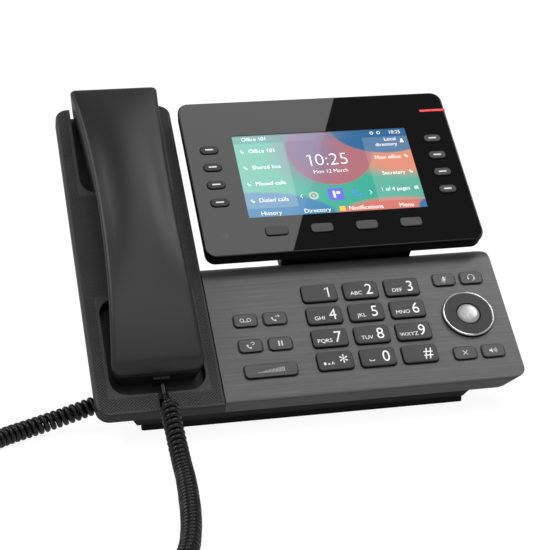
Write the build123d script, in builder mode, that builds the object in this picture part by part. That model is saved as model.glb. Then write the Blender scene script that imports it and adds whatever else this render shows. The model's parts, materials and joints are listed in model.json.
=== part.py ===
from build123d import *
import math
import os

# Desk IP phone. Millimetres, +Z up, X to the right and Y away from the user.
# The origin is on the table, under the middle of the phone. Most pieces are drawn
# in the sloping panel frame: u to the right, v up the slope, w out of the panel.

# ---- stance ---------------------------------------------------------------
TILT = 37.4
PANEL_HEIGHT = 44.5
MIDDLE_X = 33.4
MIDDLE_Y = -43.59

# ---- cradle strip and keypad panel ------------------------------------------
STRIP_LEFT, STRIP_RIGHT = -140.2, -79.0
STRIP_FRONT, STRIP_REAR = -45.5, 143.3
STRIP_CORNER = 6.5
PANEL_LEFT, PANEL_RIGHT = -78.8, 73.4
PANEL_FRONT, PANEL_REAR = -44.5, 38.8
PANEL_CORNER = 5.5
FLARE_CORNER, FLARE_INSET, FLARE_DEPTH = 18.0, 2.5, 15.0
SKIRT = 8.5
WALL = 2.0
ROLL_RADIUS = 12.5
REAR_LEG = 6.0

# ---- cradle wells -----------------------------------------------------------
WELL_LEFT, WELL_RIGHT = -132.4, -86.0
WELL_FRONT, WELL_REAR = -35.5, 20.0
HEAD_WELL_FRONT = 86.0
WELL_DEPTH = 8.0
WELL_CORNER = 9.0
WELL_WALL = 1.3

# ---- lower housing ------------------------------------------------------------
DECK_TOP, DECK_BOTTOM = -9.5, -11.5
DECK_INSET = 2.6
DECK_CORNER = 13.0
TUB_LEFT, TUB_RIGHT = -124.0, 50.0
TUB_TAPER = 6.0
TUB_BOTTOM = -24.5
TUB_FRONT, TUB_REAR = -40.0, 30.0
TOWER_RIGHT = -88.0
TOWER_REAR = 136.0

# ---- keys -----------------------------------------------------------------
DIAL_PITCH_U, DIAL_PITCH_V = 21.64, 13.35
DIAL_SIZE = (18.0, 10.3)
FEATURE_SIZE = (11.4, 6.9)
KEY_FLANGE = 0.9
KEY_FOOT = -3.6
KEY_GAP = 0.35
VOLUME_CENTRE = (-54.2, -28.9)
VOLUME_SIZE = (25.8, 7.2)
NAV_CENTRE = (52.3, -6.1)
NAV_RADIUS, NAV_BORE = 13.0, 6.4
OK_RADIUS = 5.75

# ---- display ----------------------------------------------------------------
HEAD_CENTRE = (-3.15, 84.35)
HEAD_SIZE = (147.1, 100.9)
HEAD_CORNER = 6.0
HEAD_FACE, HEAD_LENS, HEAD_BACK = 9.5, 7.1, -1.0
SCREEN_CENTRE = (-3.1, 83.9)
SCREEN_SIZE = (95.6, 54.4)
LINE_KEY_SIZE = (9.4, 5.0)
SOFT_KEY_SIZE = (11.6, 5.5)
HINGE_V, HINGE_W = 43.2, -8.0
BARREL_RADIUS = 4.6
PIN_RADIUS = 2.0
NECK_LEFT, NECK_RIGHT = -27.8, 26.4
NECK_TOP = -SKIRT - REAR_LEG - 0.5
LUG_WIDTH = 7.2
LUG_GAP = 0.3

# ---- handset ----------------------------------------------------------------
HANDSET_U = -109.3
HANDSET_LOW, HANDSET_HIGH = -28.5, 147.0
HANDSET_CROWN = 27.5
HANDSET_SEAT = -6.6
HANDSET_WALL = 2.0

# ---- cord ---------------------------------------------------------------------
COIL_DIAMETER = 9.3
WIRE_DIAMETER = 2.9
CHANNEL_WIDTH = 4.8
BOOT_RADIUS = 2.6
PLUG_U, PLUG_W = -107.9, 0.2
PLUG_WIDTH, PLUG_HEIGHT = 8.0, 6.4

slope = math.radians(TILT)
UP_SLOPE = Vector(0, math.cos(slope), math.sin(slope))
OUTWARD = Vector(0, -math.sin(slope), math.cos(slope))
DATUM = Plane(origin=(MIDDLE_X, MIDDLE_Y, PANEL_HEIGHT), x_dir=(1, 0, 0), z_dir=OUTWARD)


def level(w):
    """The plane parallel to the panel at height w, for outlines in u and v."""
    return DATUM.offset(w)


def section(u):
    """The upright plane across the phone at u, for profiles in v and w."""
    return Plane(origin=place(u, 0, 0), x_dir=UP_SLOPE, z_dir=(1, 0, 0))


def end_view(v):
    """The plane square to the slope at v, for profiles in u and w; it faces down the slope."""
    return Plane(origin=place(0, v, 0), x_dir=(1, 0, 0), z_dir=UP_SLOPE * -1)


def place(u, v, w):
    """A point of the panel frame in the phone's own frame."""
    return DATUM.from_local_coords(Vector(u, v, w))


def box_outline(u0, u1, v0, v1, corner, w):
    """A rounded rectangle between two corners, on the level w."""
    with BuildSketch(level(w)) as outline:
        with Locations(((u0 + u1) / 2, (v0 + v1) / 2)):
            RectangleRounded(u1 - u0, v1 - v0, corner)
    return outline.sketch


def slab(u0, u1, v0, v1, w0, w1, corner=0.5, mode=Mode.ADD):
    """A rounded rectangular block of the panel frame, added to the part being built."""
    extrude(box_outline(u0, u1, v0, v1, corner, w0), amount=w1 - w0, mode=mode)


def square(u0, u1, v0, v1, w0, w1, mode=Mode.ADD):
    """A block with sharp upright edges, added to the part being built."""
    with BuildSketch(level(w0)) as outline:
        with Locations(((u0 + u1) / 2, (v0 + v1) / 2)):
            Rectangle(u1 - u0, v1 - v0)
    extrude(outline.sketch, amount=w1 - w0, mode=mode)


def pad(centre, size, w0, w1, corner, grow=0.0, mode=Mode.ADD):
    """A slab given by its centre and size, grown all round by the given amount."""
    half_u = size[0] / 2 + grow
    half_v = size[1] / 2 + grow
    slab(centre[0] - half_u, centre[0] + half_u, centre[1] - half_v, centre[1] + half_v,
         w0, w1, min(corner + grow, half_u - 0.01, half_v - 0.01), mode)


def disc(centre, radius, w0, w1, mode=Mode.ADD):
    """A round slab of the panel frame."""
    with BuildSketch(level(w0)) as outline:
        with Locations(centre):
            Circle(radius)
    extrude(outline.sketch, amount=w1 - w0, mode=mode)


def finish(piece, name):
    """Label a finished piece and write its file."""
    piece.part.label = name
    export_step(piece.part, "parts/" + name + ".step")


os.makedirs("parts", exist_ok=True)


# ---- where the keys are -----------------------------------------------------
def dial_keys():
    """Name and centre of each of the twelve dial keys."""
    names = ["1", "2", "3", "4", "5", "6", "7", "8", "9", "star", "0", "hash"]
    for index, name in enumerate(names):
        column = index % 3 - 1
        row = 1 - index // 3
        yield "dial_key_" + name, (column * DIAL_PITCH_U, row * DIAL_PITCH_V)


FEATURE_KEYS = {
    "voicemail_key": (-61.8, 0.6),
    "forward_key": (-46.8, 0.6),
    "redial_key": (-61.8, -14.2),
    "hold_key": (-46.8, -14.2),
    "mute_key": (44.9, 16.0),
    "headset_key": (59.6, 16.0),
    "cancel_key": (44.9, -28.5),
    "speaker_key": (59.6, -28.5),
}


def line_keys():
    """Name and centre of the eight line keys, four on each side of the screen."""
    for side, direction in (("left", -1), ("right", 1)):
        for row in range(4):
            u = SCREEN_CENTRE[0] + direction * 61.25
            v = SCREEN_CENTRE[1] + 18.1 - 11.58 * row
            yield "line_key_" + side + "_" + str(row + 1), (u, v)


def soft_keys():
    """Name and centre of the four soft keys under the screen."""
    for index in range(4):
        u = SCREEN_CENTRE[0] - 35.2 + 23.79 * index
        yield "soft_key_" + str(index + 1), (u, SCREEN_CENTRE[1] - 36.6)


# ---- cradle cover --------------------------------------------------------------
def well(grow, floor, mode):
    """Both handset wells: the closed one for the mouthpiece, the open one for the earpiece."""
    slab(WELL_LEFT - grow, WELL_RIGHT + grow, WELL_FRONT - grow, WELL_REAR + grow,
         floor, 0 if mode == Mode.SUBTRACT else -1, WELL_CORNER + grow, mode)
    slab(WELL_LEFT - grow, WELL_RIGHT + grow, HEAD_WELL_FRONT - grow, STRIP_REAR + 20,
         floor, 0 if mode == Mode.SUBTRACT else -1, WELL_CORNER + grow, mode)


strip_box = (STRIP_LEFT, STRIP_RIGHT, STRIP_FRONT, STRIP_REAR)
inner_strip = (STRIP_LEFT + WALL, STRIP_RIGHT - WALL, STRIP_FRONT + WALL, STRIP_REAR - WALL)
HOOK_CENTRE = (HANDSET_U, 104.0)
HOOK_SIZE = (8.0, 5.0)
SPEAKER_CENTRE = (HANDSET_U, 58.0)

with BuildPart() as well_walls:
    well(WELL_WALL, -WELL_DEPTH - WELL_WALL, Mode.ADD)
    slab(*strip_box, -20, 5, STRIP_CORNER, Mode.INTERSECT)

with BuildPart() as cradle_cover:
    slab(*strip_box, -SKIRT, 0, STRIP_CORNER)
    square(STRIP_RIGHT - 2 * STRIP_CORNER, STRIP_RIGHT,
           STRIP_FRONT, STRIP_FRONT + 2 * STRIP_CORNER, -SKIRT, 0)
    top_rim = cradle_cover.faces().filter_by(level(0)).sort_by(Axis(place(0, 0, 0), OUTWARD))[-1]
    fillet(top_rim.edges(), 1.0)
    under_rim = cradle_cover.faces().filter_by(level(0)).sort_by(Axis(place(0, 0, 0), OUTWARD))[0]
    chamfer(under_rim.edges(), 1.6)
    slab(*inner_strip, -SKIRT - 1, -WALL, STRIP_CORNER - WALL, Mode.SUBTRACT)
    add(well_walls.part)
    well(0, -WELL_DEPTH, Mode.SUBTRACT)
    pad(HOOK_CENTRE, HOOK_SIZE, -12, 0, 1.0, 0.3, Mode.SUBTRACT)
    slab(PLUG_U - CHANNEL_WIDTH / 2, PLUG_U + CHANNEL_WIDTH / 2,
         STRIP_FRONT - 2, WELL_FRONT + 2, -3.4, 1, 1.0,
         Mode.SUBTRACT)
    for row in range(5):
        for column in range(5):
            hole = (SPEAKER_CENTRE[0] + 4 * (column - 2), SPEAKER_CENTRE[1] + 4 * (row - 2))
            disc(hole, 0.8, -WALL - 0.5, 0.5, Mode.SUBTRACT)
finish(cradle_cover, "cradle_cover")

# ---- keypad panel ----------------------------------------------------------------
def panel_profile(wall):
    """The panel's section: flat, with a front lip and a rear edge that rolls over and down."""
    with BuildSketch(section(PANEL_LEFT - 5)) as profile:
        with BuildLine():
            roll = ROLL_RADIUS - wall
            back = PANEL_REAR - wall
            front = PANEL_FRONT + wall
            start = (back - roll, -wall)
            end = (back, -wall - roll)
            middle = (back - roll * (1 - math.sqrt(0.5)), -wall - roll * (1 - math.sqrt(0.5)))
            lip = 1.2
            chord = lip * (1 - math.sqrt(0.5))
            ThreePointArc((front, -wall - lip), (front + chord, -wall - chord), (front + lip, -wall))
            Line((front + lip, -wall), start)
            ThreePointArc(start, middle, end)
            if wall:
                Polyline(end, (back, -14.4), (front, -14.4), (front, -wall - lip))
            else:
                Polyline(end, (back, -SKIRT - REAR_LEG), (back - WALL, -SKIRT - REAR_LEG),
                         (back - WALL, -SKIRT), (front, -SKIRT), (front, -lip))
        make_face()
    return profile.sketch


def panel_plan(wall):
    """The panel's plan as a block, square on the left; its right corners open out towards the bottom."""
    top, bottom = 0.5, 0.5 - FLARE_DEPTH
    with BuildPart() as block:
        for w, inset, corner in ((top, 0.0, PANEL_CORNER), (bottom, FLARE_INSET, FLARE_CORNER)):
            outline = box_outline(PANEL_LEFT + wall, PANEL_RIGHT - wall - inset, PANEL_FRONT + wall / 2,
                                  PANEL_REAR - wall / 2, corner - wall, w)
            add(outline)
        loft()
        square(PANEL_LEFT + wall, PANEL_LEFT + 3 * FLARE_CORNER,
               PANEL_FRONT + wall / 2, PANEL_REAR - wall / 2, bottom, top)
    return block.part


panel_width = PANEL_RIGHT - PANEL_LEFT
with BuildPart() as panel_hollow:
    extrude(panel_profile(WALL), amount=panel_width + 10)
    add(panel_plan(WALL), mode=Mode.INTERSECT)

with BuildPart() as keypad_panel:
    extrude(panel_profile(0), amount=panel_width + 10)
    add(panel_plan(0), mode=Mode.INTERSECT)
    add(panel_hollow.part, mode=Mode.SUBTRACT)
    for name, centre in dial_keys():
        pad(centre, DIAL_SIZE, -WALL - 0.5, 1, 2.0, KEY_GAP, Mode.SUBTRACT)
    for centre in FEATURE_KEYS.values():
        pad(centre, FEATURE_SIZE, -WALL - 0.5, 1, 1.9, KEY_GAP, Mode.SUBTRACT)
    pad(VOLUME_CENTRE, VOLUME_SIZE, -WALL - 0.5, 1, 2.0, KEY_GAP, Mode.SUBTRACT)
    disc(NAV_CENTRE, NAV_RADIUS + 0.45, -WALL - 0.5, 1, Mode.SUBTRACT)
finish(keypad_panel, "keypad_panel")


# ---- keys on the panel -------------------------------------------------------------
def key_cap(name, centre, size, top, corner, crown=0.7):
    """A key: a cap with a softened top and a retaining flange under the panel."""
    with BuildPart() as key:
        pad(centre, size, KEY_FOOT, top, corner)
        cap = key.faces().sort_by(Axis(place(0, 0, 0), OUTWARD))[-1]
        fillet(cap.edges(), crown)
        pad(centre, size, KEY_FOOT, KEY_FOOT + 0.8, corner, KEY_FLANGE)
    finish(key, name)


for name, centre in dial_keys():
    key_cap(name, centre, DIAL_SIZE, 1.5, 2.0)
for name, centre in FEATURE_KEYS.items():
    key_cap(name, centre, FEATURE_SIZE, 1.0, 1.9, 0.4)
key_cap("volume_rocker", VOLUME_CENTRE, VOLUME_SIZE, 1.2, 2.0, 0.4)

with BuildPart() as nav_ring:
    disc(NAV_CENTRE, NAV_RADIUS, -2.9, 1.6)
    rim = nav_ring.faces().sort_by(Axis(place(0, 0, 0), OUTWARD))[-1]
    fillet(rim.edges(), 0.8)
    disc(NAV_CENTRE, NAV_BORE, -5, 5, Mode.SUBTRACT)
finish(nav_ring, "nav_ring")

with BuildPart() as nav_rocker_plate:
    disc(NAV_CENTRE, 9.0, -4.6, -3.6)
    disc(NAV_CENTRE, NAV_BORE, -5, 5, Mode.SUBTRACT)
finish(nav_rocker_plate, "nav_rocker_plate")

with BuildPart() as ok_button:
    disc(NAV_CENTRE, OK_RADIUS, -4.2, 1.9)
    dome = ok_button.faces().sort_by(Axis(place(0, 0, 0), OUTWARD))[-1]
    fillet(dome.edges(), 0.6)
finish(ok_button, "ok_button")

# ---- inside the base: key mat, board and jacks --------------------------------------
MAT_TOP, MAT_THICKNESS = -5.2, 1.0
BOARD_TOP, BOARD_THICKNESS = -6.4, 1.6
JACK_DEPTH = 13.2
JACKS = {
    "network": (-52.0, 16.0, 21.0),
    "computer": (-68.0, 14.0, 21.0),
    "power": (38.0, 9.0, 14.0),
}

with BuildPart() as key_mat:
    slab(-74, 69.5, -39, 22.5, MAT_TOP - MAT_THICKNESS, MAT_TOP, 3.0)
    disc(NAV_CENTRE, 14.5, -8, 0, Mode.SUBTRACT)
finish(key_mat, "key_mat")

jack_floor = BOARD_TOP - BOARD_THICKNESS - JACK_DEPTH
with BuildPart() as main_board:
    slab(-74, 68.0, -39, 26.5, BOARD_TOP - BOARD_THICKNESS, BOARD_TOP, 9.0)
    for centre_u, width, length in JACKS.values():
        slab(centre_u - width / 2, centre_u + width / 2, TUB_REAR - WALL - length, TUB_REAR - WALL,
             jack_floor, BOARD_TOP - BOARD_THICKNESS + 0.01, 0.3)
        slab(centre_u - width / 2 + 1.6, centre_u + width / 2 - 1.6, TUB_REAR - WALL - length + 5,
             TUB_REAR, jack_floor + 1.6, jack_floor + JACK_DEPTH - 4.0, 0.3, Mode.SUBTRACT)
finish(main_board, "main_board")


# ---- lower housing ---------------------------------------------------------------
def tub_profile(v, left, right, wall):
    """The lower housing's end view: a shallow tub whose sides slope in towards the bottom."""
    with BuildSketch(end_view(v)) as profile:
        with BuildLine():
            rise = DECK_TOP + 0.5 if wall else DECK_BOTTOM + 0.01
            Polyline((left + wall, rise), (left + wall, DECK_BOTTOM),
                     (left + TUB_TAPER + wall, TUB_BOTTOM + wall),
                     (right - TUB_TAPER + 1 - wall, TUB_BOTTOM + wall),
                     (right - wall, DECK_BOTTOM), (right - wall, rise), close=True)
        make_face()
    return profile.sketch


def deck_ring(inset, w0, w1):
    """The flange under both covers, as an L with the notch of the display in its corner."""
    slab(STRIP_LEFT + inset, STRIP_RIGHT, STRIP_FRONT + inset, STRIP_REAR - inset, w0, w1, 5.0)
    slab(STRIP_RIGHT - 20, PANEL_RIGHT - inset - 1.4, PANEL_FRONT + inset, PANEL_REAR - 4.2, w0, w1,
         DECK_CORNER)


SCREW_PLACES = [(-98.0, -31.0), (40.0, -31.0), (-114.0, 126.0), (27.5, 20.0), (-94.2, 62.0)]
HANDSET_JACK_V, HANDSET_JACK_W = -25.0, -17.6

with BuildPart() as tub_hollow:
    extrude(tub_profile(TUB_REAR - WALL, TUB_LEFT, TUB_RIGHT, WALL), amount=TUB_REAR - TUB_FRONT - 2 * WALL)
    extrude(tub_profile(TOWER_REAR - WALL, TUB_LEFT, TOWER_RIGHT, WALL),
            amount=TOWER_REAR - TUB_FRONT - 2 * WALL)

with BuildPart() as base_lower_housing:
    deck_ring(DECK_INSET, DECK_BOTTOM, DECK_TOP)
    extrude(tub_profile(TUB_REAR, TUB_LEFT, TUB_RIGHT, 0), amount=TUB_REAR - TUB_FRONT)
    extrude(tub_profile(TOWER_REAR, TUB_LEFT, TOWER_RIGHT, 0), amount=TOWER_REAR - TUB_FRONT)
    add(tub_hollow.part, mode=Mode.SUBTRACT)
    for u, v in SCREW_PLACES:
        disc((u, v), 3.6, TUB_BOTTOM + 0.5, DECK_TOP - 0.2)
        disc((u, v), 1.6, TUB_BOTTOM - 1, DECK_TOP + 1, Mode.SUBTRACT)
        disc((u, v), 3.0, TUB_BOTTOM - 1, TUB_BOTTOM + 1.6, Mode.SUBTRACT)
    for centre_u, width, length in JACKS.values():
        slab(centre_u - width / 2 + 0.6, centre_u + width / 2 - 0.6, TUB_REAR - WALL - 1, TUB_REAR + 1,
             jack_floor + 0.6, DECK_BOTTOM - 0.5, 0.3, Mode.SUBTRACT)
    slab(TUB_LEFT + 1.0, TUB_LEFT + 17.0, HANDSET_JACK_V - PLUG_WIDTH / 2 - 1.6,
         HANDSET_JACK_V + PLUG_WIDTH / 2 + 1.6, TUB_BOTTOM + 1.0, HANDSET_JACK_W + PLUG_HEIGHT / 2 + 1.4, 0.5)
    slab(TUB_LEFT - 3.0, TUB_LEFT + 15.0, HANDSET_JACK_V - PLUG_WIDTH / 2, HANDSET_JACK_V + PLUG_WIDTH / 2,
         HANDSET_JACK_W - PLUG_HEIGHT / 2, HANDSET_JACK_W + PLUG_HEIGHT / 2, 0.3, Mode.SUBTRACT)
    for row in range(7):
        slab(-70, -20, -30 + 5 * row, -28.2 + 5 * row, TUB_BOTTOM - 1, TUB_BOTTOM + WALL + 1, 0.5,
             Mode.SUBTRACT)
    with Locations(Location((0, MIDDLE_Y - 60, -47))):
        Box(400, 100, 100, mode=Mode.SUBTRACT)
finish(base_lower_housing, "base_lower_housing")

with BuildPart() as housing_screws:
    for u, v in SCREW_PLACES:
        disc((u, v), 1.55, TUB_BOTTOM + 1.6, DECK_TOP - 1.0)
        disc((u, v), 2.8, TUB_BOTTOM + 0.1, TUB_BOTTOM + 1.6)
        disc((u, v), 1.0, TUB_BOTTOM - 1, TUB_BOTTOM + 1.0, Mode.SUBTRACT)
finish(housing_screws, "housing_screws")

# ---- cradle: hook switch and loudspeaker ----------------------------------------------
with BuildPart() as hook_switch:
    pad(HOOK_CENTRE, HOOK_SIZE, -16.0, HANDSET_SEAT - 0.05, 1.0)
    crown = hook_switch.faces().sort_by(Axis(place(0, 0, 0), OUTWARD))[-1]
    fillet(crown.edges(), 0.6)
    pad(HOOK_CENTRE, HOOK_SIZE, -16.0, -14.5, 1.0, 1.5)
finish(hook_switch, "hook_switch")

with BuildPart() as hands_free_speaker:
    disc(SPEAKER_CENTRE, 18.0, -4.2, -WALL)
    disc(SPEAKER_CENTRE, 10.0, -16.0, -4.2)
    disc(SPEAKER_CENTRE, 15.0, -3.0, 0, Mode.SUBTRACT)
finish(hands_free_speaker, "hands_free_speaker")

# ---- footstand and feet ---------------------------------------------------------------
STAND_REAR, STAND_FRONT = 58.0, 44.0
PAD_HEIGHT = 3.0
STAND_LEFT, STAND_RIGHT = -114.0, 40.0


def underside(v, w=TUB_BOTTOM):
    """Y and Z of the housing's underside at v."""
    point = place(0, v, w)
    return point.Y, point.Z


def stand_arm(u, width, v_low, v_high):
    """One side of the stand: from the housing's underside down and back to the foot bar."""
    with BuildSketch(Plane.YZ.offset(MIDDLE_X + u)) as profile:
        with BuildLine():
            Polyline(underside(v_low), underside(v_high), (STAND_REAR, PAD_HEIGHT + 9.0),
                     (STAND_REAR, PAD_HEIGHT), (STAND_FRONT, PAD_HEIGHT), close=True)
        make_face()
    extrude(profile.sketch, amount=width)


def arm_window(u, width, corners):
    """A cut-out through an arm, in Y and Z."""
    with BuildSketch(Plane.YZ.offset(MIDDLE_X + u - 1)) as window:
        with BuildLine():
            Polyline(*corners, close=True)
        make_face()
    extrude(window.sketch, amount=width + 2, mode=Mode.SUBTRACT)


ARM_WIDTH = 5.0
with BuildPart() as footstand:
    stand_arm(STAND_LEFT, ARM_WIDTH, 8.0, 96.0)
    stand_arm(STAND_RIGHT - ARM_WIDTH, ARM_WIDTH, -8.0, 26.0)
    with BuildSketch(Plane.YZ.offset(MIDDLE_X + STAND_LEFT)) as bar:
        with BuildLine():
            Polyline((STAND_FRONT, PAD_HEIGHT), (STAND_REAR, PAD_HEIGHT), (STAND_REAR, PAD_HEIGHT + 9.0),
                     (STAND_FRONT + 5.0, PAD_HEIGHT + 9.0), close=True)
        make_face()
    extrude(bar.sketch, amount=STAND_RIGHT - STAND_LEFT)
    slab(STAND_LEFT, STAND_RIGHT, 8.0, 26.0, TUB_BOTTOM - 3.0, TUB_BOTTOM, 1.0)
    low = underside(30.0, TUB_BOTTOM - 4.0)
    high = underside(82.0, TUB_BOTTOM - 6.0)
    arm_window(STAND_LEFT, ARM_WIDTH, [low, high, (STAND_REAR - 6.0, 20.0), (STAND_FRONT + 2.0, 16.0)])
finish(footstand, "footstand")

FRONT_FOOT_Y = underside(TUB_FRONT)[0]
FRONT_FOOT = (-117.0, 46.0)
with BuildPart() as rubber_feet:
    with BuildSketch(Plane.XY):
        with Locations((MIDDLE_X + (FRONT_FOOT[0] + FRONT_FOOT[1]) / 2, FRONT_FOOT_Y + 0.6)):
            RectangleRounded(FRONT_FOOT[1] - FRONT_FOOT[0], 4.4, 1.5)
    extrude(amount=PAD_HEIGHT)
    for u in (STAND_LEFT + 12, STAND_RIGHT - 12):
        with BuildSketch(Plane.XY):
            with Locations((MIDDLE_X + u, (STAND_FRONT + STAND_REAR) / 2)):
                RectangleRounded(20, 10, 3)
        extrude(amount=PAD_HEIGHT)
finish(rubber_feet, "rubber_feet")


# ---- display head -----------------------------------------------------------------------
def head_outline(grow, w0, w1, mode=Mode.ADD):
    """The display's rounded rectangle, grown or shrunk all round."""
    pad(HEAD_CENTRE, HEAD_SIZE, w0, w1, HEAD_CORNER, grow, mode)


def light_pipe(grow, mode=Mode.ADD):
    """The bar of the message light, which runs off the display's right edge."""
    right = HEAD_CENTRE[0] + HEAD_SIZE[0] / 2
    slab(56.0 - grow, right + 0.2 + grow, 121.3 - grow, 122.7 + grow, 4.6 - grow, HEAD_FACE + 0.1 + grow,
         0.3, mode)


with BuildPart() as display_front_cover:
    head_outline(0, HEAD_LENS, HEAD_FACE)
    face = display_front_cover.faces().sort_by(Axis(place(0, 0, 0), OUTWARD))[-1]
    fillet(face.edges(), 0.7)
    pad(SCREEN_CENTRE, SCREEN_SIZE, 0, 20, 0.5, 0, Mode.SUBTRACT)
    for name, centre in line_keys():
        pad(centre, LINE_KEY_SIZE, 0, 20, 2.2, 0.3, Mode.SUBTRACT)
    for name, centre in soft_keys():
        pad(centre, SOFT_KEY_SIZE, 0, 20, 1.8, 0.3, Mode.SUBTRACT)
    light_pipe(0.0, Mode.SUBTRACT)
finish(display_front_cover, "display_front_cover")

lug_places = (NECK_LEFT - LUG_GAP - LUG_WIDTH, NECK_RIGHT + LUG_GAP)


def hinge_profile(u, top):
    """The section round the tilt hinge: a round barrel with a web up to the given height."""
    with BuildSketch(section(u)) as profile:
        with Locations((HINGE_V, HINGE_W)):
            Circle(BARREL_RADIUS)
        with Locations((HINGE_V, (HINGE_W + top) / 2)):
            Rectangle(2 * BARREL_RADIUS, top - HINGE_W)
    return profile.sketch


def pin_hole(radius):
    """The bore for the hinge pin, right across the phone."""
    with BuildSketch(section(NECK_LEFT - 30)) as hole:
        with Locations((HINGE_V, HINGE_W)):
            Circle(radius)
    extrude(hole.sketch, amount=120, mode=Mode.SUBTRACT)


with BuildPart() as display_rear_housing:
    head_outline(-0.5, HEAD_BACK, HEAD_LENS)
    back = display_rear_housing.faces().sort_by(Axis(place(0, 0, 0), OUTWARD))[0]
    fillet(back.edges(), 4.5)
    slab(-56, 50, 56, 122, HEAD_BACK - 5.0, HEAD_BACK + 0.01, 8.0)
    hump = display_rear_housing.faces().sort_by(Axis(place(0, 0, 0), OUTWARD))[0]
    fillet(hump.edges(), 3.0)
    slab(-53, 47, 59, 119, HEAD_BACK - 3.0, HEAD_LENS, 5.0, Mode.SUBTRACT)
    head_outline(-2.5, HEAD_BACK + WALL, HEAD_LENS + 1, Mode.SUBTRACT)
    for u in lug_places:
        extrude(hinge_profile(u, HEAD_BACK + 0.1), amount=LUG_WIDTH)
    pin_hole(PIN_RADIUS)
    light_pipe(0.0, Mode.SUBTRACT)
finish(display_rear_housing, "display_rear_housing")

with BuildPart() as message_light:
    light_pipe(0.0)
finish(message_light, "message_light")

with BuildPart() as display_board:
    slab(-72, 65.8, 44.0, 118.5, HEAD_BACK + WALL, HEAD_BACK + WALL + 1.6, 2.0)
finish(display_board, "display_board")

with BuildPart() as lcd_module:
    pad(SCREEN_CENTRE, (103.0, 62.0), 2.8, HEAD_LENS, 1.0)
    pad(SCREEN_CENTRE, SCREEN_SIZE, HEAD_LENS - 0.5, HEAD_FACE - 0.3, 0.5)
finish(lcd_module, "lcd_module")


def head_key(name, centre, size, top, corner):
    """A small key of the display, with a flange behind the front cover."""
    with BuildPart() as key:
        pad(centre, size, 3.4, top, corner)
        cap = key.faces().sort_by(Axis(place(0, 0, 0), OUTWARD))[-1]
        fillet(cap.edges(), 0.45)
        pad(centre, size, 3.4, 5.4, corner, 0.6)
    finish(key, name)


for name, centre in line_keys():
    head_key(name, centre, LINE_KEY_SIZE, HEAD_FACE + 0.8, 2.2)
for name, centre in soft_keys():
    head_key(name, centre, SOFT_KEY_SIZE, HEAD_FACE + 0.9, 1.8)

with BuildPart() as display_neck:
    with BuildSketch(section(NECK_LEFT)) as post:
        with Locations((HINGE_V, HINGE_W)):
            Circle(BARREL_RADIUS)
        with BuildLine():
            Polyline((PANEL_REAR + 0.4, HINGE_W - 3.0), (HINGE_V, HINGE_W),
                     (HINGE_V + BARREL_RADIUS, HINGE_W), (HINGE_V + 4.0, TUB_BOTTOM + 1.0),
                     (TUB_REAR, TUB_BOTTOM + 1.0), (TUB_REAR, NECK_TOP),
                     (PANEL_REAR + 0.4, NECK_TOP), close=True)
        make_face()
    extrude(post.sketch, amount=NECK_RIGHT - NECK_LEFT)
    pin_hole(PIN_RADIUS + 0.05)
finish(display_neck, "display_neck")

with BuildPart() as hinge_pin:
    with BuildSketch(section(lug_places[0])) as pin:
        with Locations((HINGE_V, HINGE_W)):
            Circle(PIN_RADIUS)
    extrude(pin.sketch, amount=NECK_RIGHT - NECK_LEFT + 2 * (LUG_WIDTH + LUG_GAP))
finish(hinge_pin, "hinge_pin")


# ---- handset ----------------------------------------------------------------------------
def handset_form(inset):
    """The whole handset as a solid: an arched profile cut to a waisted outline."""
    with BuildSketch(section(HANDSET_U)) as profile:
        with BuildLine():
            back = ThreePointArc((HANDSET_LOW, 9.0), (58.0, HANDSET_CROWN), (HANDSET_HIGH, 10.0))
            crest = Line(back @ 1, (140.0, HANDSET_SEAT))
            ear = Line(crest @ 1, (98.0, HANDSET_SEAT))
            arch = ThreePointArc(ear @ 1, (53.0, 12.5), (8.0, HANDSET_SEAT))
            mouth = Line(arch @ 1, (HANDSET_LOW + 1.0, HANDSET_SEAT))
            Line(mouth @ 1, back @ 0)
        make_face()
        offset(amount=-inset, kind=Kind.INTERSECTION)
    with BuildSketch(level(-40)) as plan:
        with BuildLine():
            right = ThreePointArc((HANDSET_U + 21.8, HANDSET_LOW - 2), (HANDSET_U + 17.8, 50.0),
                                  (HANDSET_U + 22.4, HANDSET_HIGH + 2))
            left = ThreePointArc((HANDSET_U - 21.8, HANDSET_LOW - 2), (HANDSET_U - 17.8, 50.0),
                                 (HANDSET_U - 22.4, HANDSET_HIGH + 2))
            Line(right @ 0, left @ 0)
            Line(right @ 1, left @ 1)
        make_face()
        fillet(plan.vertices(), 6.0)
        offset(amount=-inset)
    with BuildPart() as form:
        extrude(profile.sketch, amount=30, both=True)
        extrude(plan.sketch, amount=100, mode=Mode.INTERSECT)
    return form


def parting_block():
    """Everything above the line where the handset's two shells meet."""
    with BuildSketch(section(HANDSET_U)) as profile:
        with BuildLine():
            line = ThreePointArc((HANDSET_LOW - 5, 3.0), (58.0, 20.0), (HANDSET_HIGH + 5, 4.0))
            Polyline(line @ 1, (HANDSET_HIGH + 5, 60), (HANDSET_LOW - 5, 60), line @ 0)
        make_face()
    with BuildPart() as block:
        extrude(profile.sketch, amount=30, both=True)
    return block.part


with BuildPart() as plug_pocket:
    slab(PLUG_U - PLUG_WIDTH / 2, PLUG_U + PLUG_WIDTH / 2, HANDSET_LOW - 6, HANDSET_LOW + 11.0,
         PLUG_W - PLUG_HEIGHT / 2, PLUG_W + PLUG_HEIGHT / 2, 0.3)

handset_solid = handset_form(0)
handset_hollow = handset_form(HANDSET_WALL)
upper_half = parting_block()

with BuildPart() as handset_outer_shell:
    add(handset_solid.part)
    crown_face = handset_outer_shell.faces().sort_by(Axis(place(0, 0, 0), OUTWARD))[-1]
    fillet(crown_face.edges(), 3.5)
    add(handset_hollow.part, mode=Mode.SUBTRACT)
    add(upper_half, mode=Mode.INTERSECT)
    add(plug_pocket.part, mode=Mode.SUBTRACT)
finish(handset_outer_shell, "handset_outer_shell")

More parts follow.
